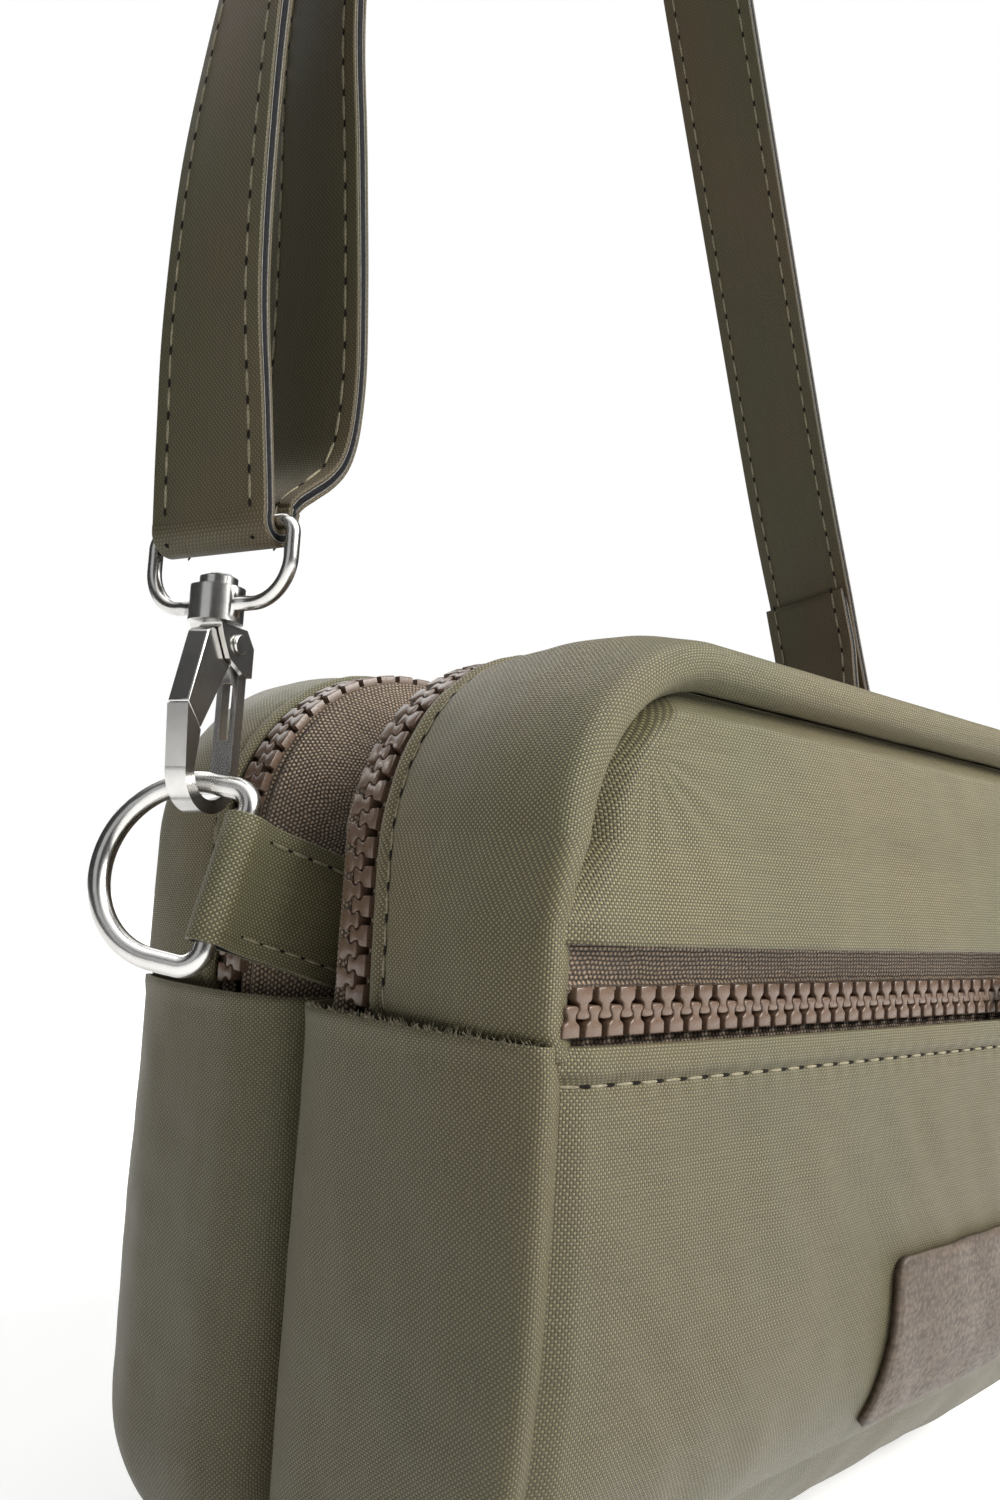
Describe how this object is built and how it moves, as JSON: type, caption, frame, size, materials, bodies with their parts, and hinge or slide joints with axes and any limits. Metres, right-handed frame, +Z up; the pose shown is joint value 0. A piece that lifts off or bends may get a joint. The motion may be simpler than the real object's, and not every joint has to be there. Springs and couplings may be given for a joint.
{
  "type": "crossbody purse",
  "caption": "Soft two-compartment crossbody bag with a zipped front pocket, moulded-tooth zips, side rings and a clip-on strap with a bare label patch.",
  "frame": {"origin": "on the ground under the middle of the bag's width and depth", "axes": "+X along the width to the right seen from the front, -Y out of the front face, +Z up"},
  "size_m": [0.2041, 0.1009, 0.4112],
  "materials": {
    "canvas": "satin coated weave",
    "inner_canvas": "matte weave",
    "zip_tape": "woven herringbone",
    "zip_teeth": "moulded, soft gloss",
    "label": "plain, bare",
    "nickel": "bright nickel plate",
    "slider": "painted brown",
    "strap": "layered coated weave"
  },
  "bodies": {
    "bag": {"pocket_panel": "canvas", "front_panel": "canvas", "pocket_back_wall": "inner_canvas", "rear_panel": "canvas", "front_inner_wall": "inner_canvas", "rear_inner_wall": "inner_canvas", "front_top_gusset": "canvas", "rear_top_gusset": "canvas", "front_base_gusset": "canvas", "rear_base_gusset": "canvas", "front_tape_outer": "zip_tape", "front_tape_inner": "zip_tape", "rear_tape_inner": "zip_tape", "rear_tape_outer": "zip_tape", "pocket_tape_upper": "zip_tape", "pocket_tape_lower": "zip_tape", "front_teeth_outer": "zip_teeth", "front_teeth_inner": "zip_teeth", "rear_teeth_inner": "zip_teeth", "rear_teeth_outer": "zip_teeth", "pocket_teeth_upper": "zip_teeth", "pocket_teeth_lower": "zip_teeth", "label_patch": "label", "tab_left": "canvas", "tab_right": "canvas"},
    "ring_left": {"ring_left": "nickel"},
    "ring_right": {"ring_right": "nickel"},
    "strap": {"strap_webbing": "strap", "strap_adjuster": "nickel", "eye_left": "nickel", "eye_right": "nickel"},
    "hook_left": {"hook_left": "nickel", "gate_rivet_left": "nickel", "gate_spring_left": "nickel"},
    "hook_right": {"hook_right": "nickel", "gate_rivet_right": "nickel", "gate_spring_right": "nickel"},
    "gate_left": {"gate_left": "nickel"},
    "gate_right": {"gate_right": "nickel"},
    "front_slider": {"front_slider": "slider"},
    "rear_slider": {"rear_slider": "slider"},
    "pocket_slider": {"pocket_slider": "slider"},
    "front_pull": {"front_pull": "nickel"},
    "rear_pull": {"rear_pull": "nickel"},
    "pocket_pull": {"pocket_pull": "nickel"}
  },
  "joints": [
    {"name": "ring_left_swing", "type": "hinge", "parent": "bag", "child": "ring_left", "pos_m": [-0.0913, 0.0055, 0.1043], "axis": [0.2672, 0, 0.9636], "range_deg": [-5, 5]},
    {"name": "ring_right_swing", "type": "hinge", "parent": "bag", "child": "ring_right", "pos_m": [0.0913, 0.0055, 0.1043], "axis": [-0.2672, 0, 0.9636], "range_deg": [-5, 5]},
    {"name": "strap_swing", "type": "hinge", "parent": "bag", "child": "strap", "pos_m": [-0.00053, 0.01182, 0.10509], "axis": [1, 0.0027, -0.0016], "range_deg": [-6, 6]},
    {"name": "hook_left_swivel", "type": "hinge", "parent": "strap", "child": "hook_left", "pos_m": [-0.09209, 0.01311, 0.11788], "axis": [0, 0, 1], "range_deg": [-10, 10]},
    {"name": "hook_right_swivel", "type": "hinge", "parent": "strap", "child": "hook_right", "pos_m": [0.09055, 0.01323, 0.11752], "axis": [-0.1375, 0.1564, 0.9781], "range_deg": [-10, 10]},
    {"name": "gate_left_hinge", "type": "hinge", "parent": "hook_left", "child": "gate_left", "pos_m": [-0.08987, 0.01401, 0.13848], "axis": [0.3746, -0.9272, 0], "range_deg": [0, 20], "stiffness_Nm_per_rad": 0.02},
    {"name": "gate_right_hinge", "type": "hinge", "parent": "hook_right", "child": "gate_right", "pos_m": [0.08554, 0.01734, 0.13722], "axis": [0.3911, 0.9158, -0.0915], "range_deg": [0, 20], "stiffness_Nm_per_rad": 0.02},
    {"name": "front_zip_slide", "type": "slide", "parent": "bag", "child": "front_slider", "axis": [-1, 0, 0], "range_m": [0, 0.08]},
    {"name": "rear_zip_slide", "type": "slide", "parent": "bag", "child": "rear_slider", "axis": [-1, 0, 0], "range_m": [0, 0.08]},
    {"name": "pocket_zip_slide", "type": "slide", "parent": "bag", "child": "pocket_slider", "axis": [-1, 0, 0], "range_m": [0, 0.128]},
    {"name": "front_pull_hinge", "type": "hinge", "parent": "front_slider", "child": "front_pull", "pos_m": [0.042, -0.0095, 0.14345], "axis": [0, 1, 0], "range_deg": [0, 150]},
    {"name": "rear_pull_hinge", "type": "hinge", "parent": "rear_slider", "child": "rear_pull", "pos_m": [0.042, 0.0205, 0.14345], "axis": [0, 1, 0], "range_deg": [0, 150]},
    {"name": "pocket_pull_hinge", "type": "hinge", "parent": "pocket_slider", "child": "pocket_pull", "pos_m": [0.064, -0.04955, 0.0915], "axis": [0, 0, 1], "range_deg": [0, 150]}
  ]
}
